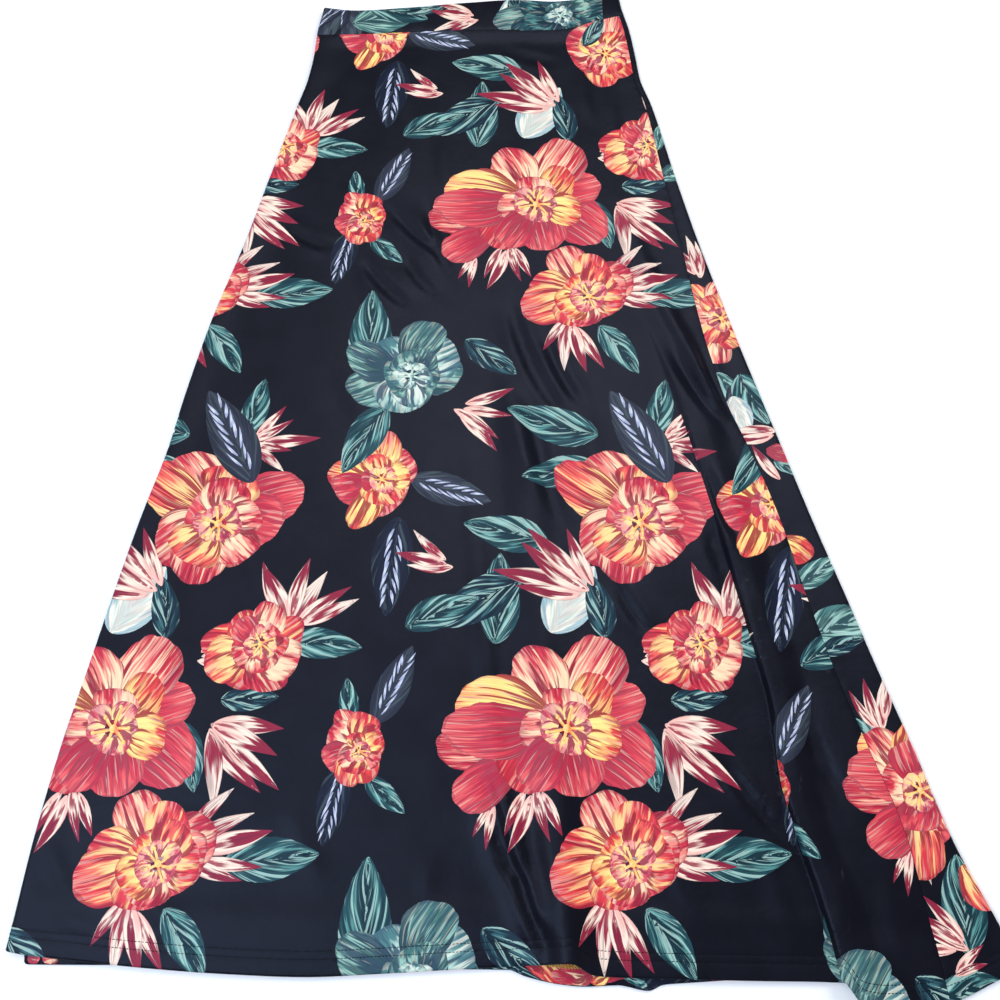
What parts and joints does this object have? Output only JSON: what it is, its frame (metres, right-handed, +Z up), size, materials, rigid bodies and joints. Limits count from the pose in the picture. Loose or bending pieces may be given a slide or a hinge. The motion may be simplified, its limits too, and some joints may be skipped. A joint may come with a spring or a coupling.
{
  "type": "maxi skirt",
  "caption": "Floor-length flared jersey skirt with a plain waistband, laid flat with soft folds, a small pleat and its side seam turned to the top.",
  "frame": {"origin": "middle of the garment's footprint, on the surface it lies on", "axes": "+Y from the hem to the waist, +X across the skirt to the viewer's right, +Z up out of the surface"},
  "size_m": [0.8202, 1.0624, 0.0181],
  "materials": {
    "printed_jersey": "smooth black-navy jersey with a soft satin sheen and a flower and leaf print",
    "band_jersey": "the same printed jersey, folded double"
  },
  "bodies": {
    "root": {"skirt_front": "printed_jersey", "skirt_back": "printed_jersey", "waistband_front": "band_jersey", "waistband_back": "band_jersey"}
  },
  "joints": []
}
